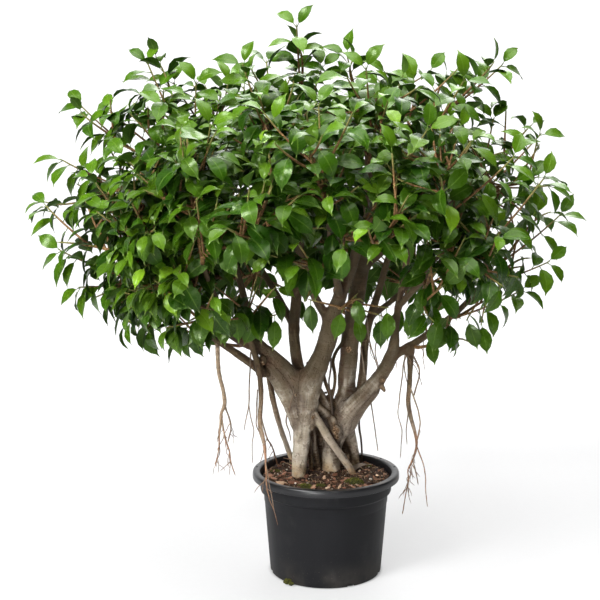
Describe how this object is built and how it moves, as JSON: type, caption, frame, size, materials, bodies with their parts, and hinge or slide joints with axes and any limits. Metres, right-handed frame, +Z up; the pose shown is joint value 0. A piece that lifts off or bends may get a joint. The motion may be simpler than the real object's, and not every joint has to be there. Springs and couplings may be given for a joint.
{
  "type": "potted ficus",
  "caption": "Bushy many-stemmed ficus with hanging aerial roots and a broad round crown of small oval leaves, in a round black plastic nursery pot.",
  "frame": {"origin": "centre of the pot's underside, on the floor", "axes": "+Z up along the pot's axis, the front faces -Y, +X to the right as seen from the front"},
  "size_m": [1.0323, 0.9233, 1.0643],
  "materials": {
    "pot": "satin black moulded plastic, slightly dusty",
    "soil": "moist bark-based potting mix, rough",
    "trunk": "smooth grey-beige living bark with fine bands",
    "leafy_branch": "glossy dark green leaves on brown twigs"
  },
  "bodies": {
    "root": {"pot": "pot", "soil": "soil", "trunk": "trunk", "leafy_branch_01": "leafy_branch", "leafy_branch_02": "leafy_branch", "leafy_branch_03": "leafy_branch", "leafy_branch_04": "leafy_branch", "leafy_branch_05": "leafy_branch", "leafy_branch_06": "leafy_branch", "leafy_branch_07": "leafy_branch", "leafy_branch_08": "leafy_branch", "leafy_branch_09": "leafy_branch", "leafy_branch_10": "leafy_branch", "leafy_branch_11": "leafy_branch", "leafy_branch_12": "leafy_branch", "leafy_branch_13": "leafy_branch", "leafy_branch_14": "leafy_branch", "leafy_branch_15": "leafy_branch", "leafy_branch_16": "leafy_branch", "leafy_branch_17": "leafy_branch", "leafy_branch_18": "leafy_branch", "leafy_branch_19": "leafy_branch", "leafy_branch_20": "leafy_branch", "leafy_branch_21": "leafy_branch", "leafy_branch_22": "leafy_branch", "leafy_branch_23": "leafy_branch", "leafy_branch_24": "leafy_branch", "leafy_branch_25": "leafy_branch", "leafy_branch_26": "leafy_branch", "leafy_branch_27": "leafy_branch", "leafy_branch_28": "leafy_branch", "leafy_branch_29": "leafy_branch", "leafy_branch_30": "leafy_branch", "leafy_branch_31": "leafy_branch", "leafy_branch_32": "leafy_branch", "leafy_branch_33": "leafy_branch", "leafy_branch_34": "leafy_branch", "leafy_branch_35": "leafy_branch", "leafy_branch_36": "leafy_branch", "leafy_branch_37": "leafy_branch", "leafy_branch_38": "leafy_branch", "leafy_branch_39": "leafy_branch", "leafy_branch_40": "leafy_branch", "leafy_branch_41": "leafy_branch", "leafy_branch_42": "leafy_branch", "leafy_branch_43": "leafy_branch", "leafy_branch_44": "leafy_branch", "leafy_branch_45": "leafy_branch", "leafy_branch_46": "leafy_branch", "leafy_branch_47": "leafy_branch", "leafy_branch_48": "leafy_branch", "leafy_branch_49": "leafy_branch", "leafy_branch_50": "leafy_branch"}
  },
  "joints": []
}
